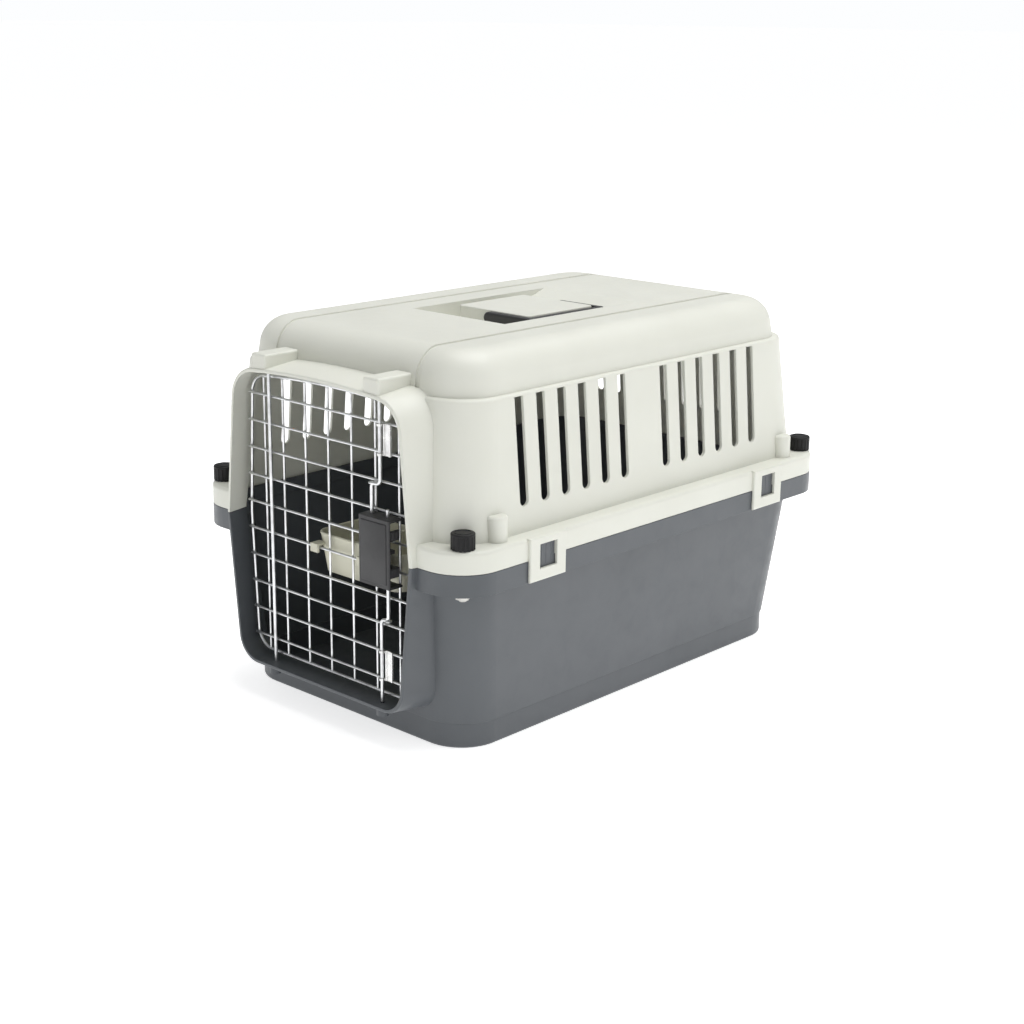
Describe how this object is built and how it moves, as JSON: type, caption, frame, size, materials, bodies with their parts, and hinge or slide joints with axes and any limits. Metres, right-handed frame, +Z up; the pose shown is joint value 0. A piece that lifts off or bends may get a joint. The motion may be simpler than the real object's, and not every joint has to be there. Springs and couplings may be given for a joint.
{
  "type": "pet transport carrier",
  "caption": "Two-part moulded pet carrier with a wire grid door in a projecting surround, hand-screwed rim, side clips and a handle that folds into the roof.",
  "frame": {"origin": "under the middle of the base, on the surface it stands on", "axes": "+Z up; the door faces -Y; +X is to the right of someone looking at the door from the front"},
  "size_m": [0.3386, 0.5015, 0.3285],
  "materials": {
    "cream_shell": "satin moulded polypropylene",
    "grey_shell": "satin moulded polypropylene",
    "zinc_wire": "bright zinc plated wire",
    "zinc_plate": "bright zinc plated sheet",
    "spring_steel": "bright spring wire",
    "pin_steel": "bright",
    "screw_steel": "zinc plated",
    "black_plastic": "matte",
    "handle_plastic": "satin",
    "bowl_plastic": "satin"
  },
  "bodies": {
    "base": {"bottom_shell": "grey_shell", "nut_front_left": "screw_steel", "nut_front_right": "screw_steel", "nut_rear_left": "screw_steel", "nut_rear_right": "screw_steel"},
    "cover": {"top_shell": "cream_shell", "handle_pin_front": "pin_steel", "handle_pin_rear": "pin_steel"},
    "handle": {"carry_handle": "handle_plastic"},
    "door": {"door_frame": "zinc_wire", "door_columns": "zinc_wire", "door_rows": "zinc_wire", "hinge_rod": "zinc_wire", "latch_case": "black_plastic", "rod_guide_upper": "zinc_plate", "rod_guide_lower": "zinc_plate", "latch_spring_upper": "spring_steel", "latch_spring_lower": "spring_steel"},
    "upper_bolt": {"bolt_rod_upper": "zinc_wire", "finger_pad_upper": "black_plastic"},
    "lower_bolt": {"bolt_rod_lower": "zinc_wire", "finger_pad_lower": "black_plastic"},
    "bowl": {"feeding_bowl": "bowl_plastic"},
    "knob_screw_front_left": {"knob_front_left": "black_plastic", "screw_front_left": "screw_steel"},
    "knob_screw_front_right": {"knob_front_right": "black_plastic", "screw_front_right": "screw_steel"},
    "knob_screw_rear_left": {"knob_rear_left": "black_plastic", "screw_rear_left": "screw_steel"},
    "knob_screw_rear_right": {"knob_rear_right": "black_plastic", "screw_rear_right": "screw_steel"}
  },
  "joints": [
    {"name": "cover_lift", "type": "slide", "parent": "base", "child": "cover", "axis": [0, 0, 1], "range_m": [0, 0.12]},
    {"name": "handle_fold", "type": "hinge", "parent": "cover", "child": "handle", "pos_m": [0, 0.003, 0.3226], "axis": [0, -1, 0], "range_deg": [0, 180]},
    {"name": "door_hinge", "type": "hinge", "parent": "base", "child": "door", "pos_m": [-0.0687, -0.239, 0.16], "axis": [0, 0, -1], "range_deg": [0, 120]},
    {"name": "upper_bolt_slide", "type": "slide", "parent": "door", "child": "upper_bolt", "axis": [0, 0, 1], "range_m": [0, 0.007], "stiffness_N_per_m": 150, "springref_m": 0.012, "deforming": ["latch_spring_upper"]},
    {"name": "lower_bolt_slide", "type": "slide", "parent": "door", "child": "lower_bolt", "axis": [0, 0, -1], "range_m": [0, 0.007], "stiffness_N_per_m": 150, "springref_m": 0.012, "deforming": ["latch_spring_lower"]},
    {"name": "bowl_lift", "type": "slide", "parent": "door", "child": "bowl", "axis": [0, 0, 1], "range_m": [0, 0.012]},
    {"name": "knob_turn_front_left", "type": "hinge", "parent": "cover", "child": "knob_screw_front_left", "pos_m": [-0.148, -0.227, 0.17], "axis": [0, 0, 1], "continuous": true},
    {"name": "knob_turn_front_right", "type": "hinge", "parent": "cover", "child": "knob_screw_front_right", "pos_m": [0.148, -0.227, 0.17], "axis": [0, 0, 1], "continuous": true},
    {"name": "knob_turn_rear_left", "type": "hinge", "parent": "cover", "child": "knob_screw_rear_left", "pos_m": [-0.148, 0.232, 0.17], "axis": [0, 0, 1], "continuous": true},
    {"name": "knob_turn_rear_right", "type": "hinge", "parent": "cover", "child": "knob_screw_rear_right", "pos_m": [0.148, 0.232, 0.17], "axis": [0, 0, 1], "continuous": true}
  ]
}
